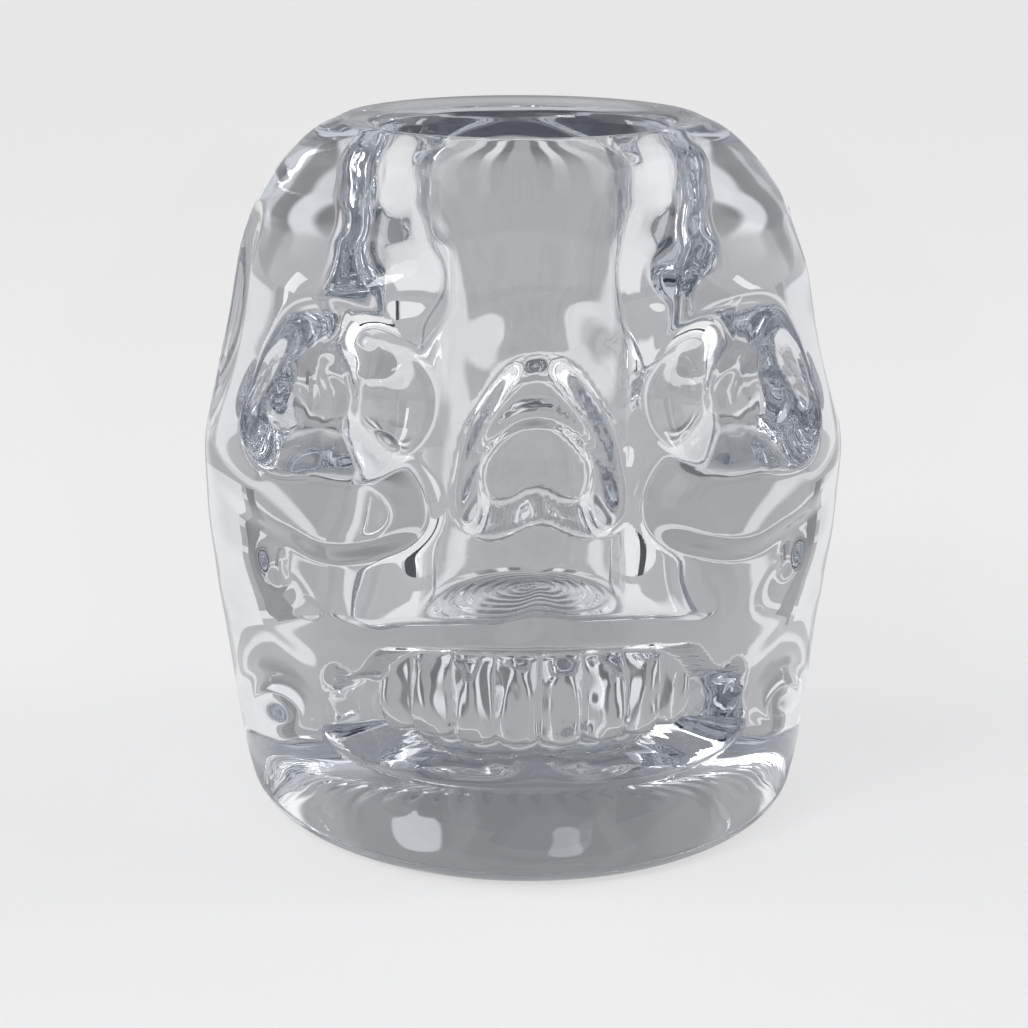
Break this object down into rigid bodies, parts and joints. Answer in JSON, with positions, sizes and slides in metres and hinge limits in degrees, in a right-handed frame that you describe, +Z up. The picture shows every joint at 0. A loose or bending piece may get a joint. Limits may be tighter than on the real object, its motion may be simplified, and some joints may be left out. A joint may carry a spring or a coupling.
{
  "type": "skull candle holder",
  "caption": "Clear pressed-glass skull with a flat-cut crown and a deep round well that holds one tealight.",
  "frame": {"origin": "on the surface it stands on, under the middle of the block's bounding box", "axes": "+Z up through the crown, -Y out of the face, +X towards the skull's own left side"},
  "size_m": [0.0932, 0.098, 0.0995],
  "materials": {
    "clear_glass": "clear, fire-polished outside, with a flat-cut crown and a ground foot"
  },
  "bodies": {
    "root": {"glass_skull": "clear_glass"}
  },
  "joints": []
}
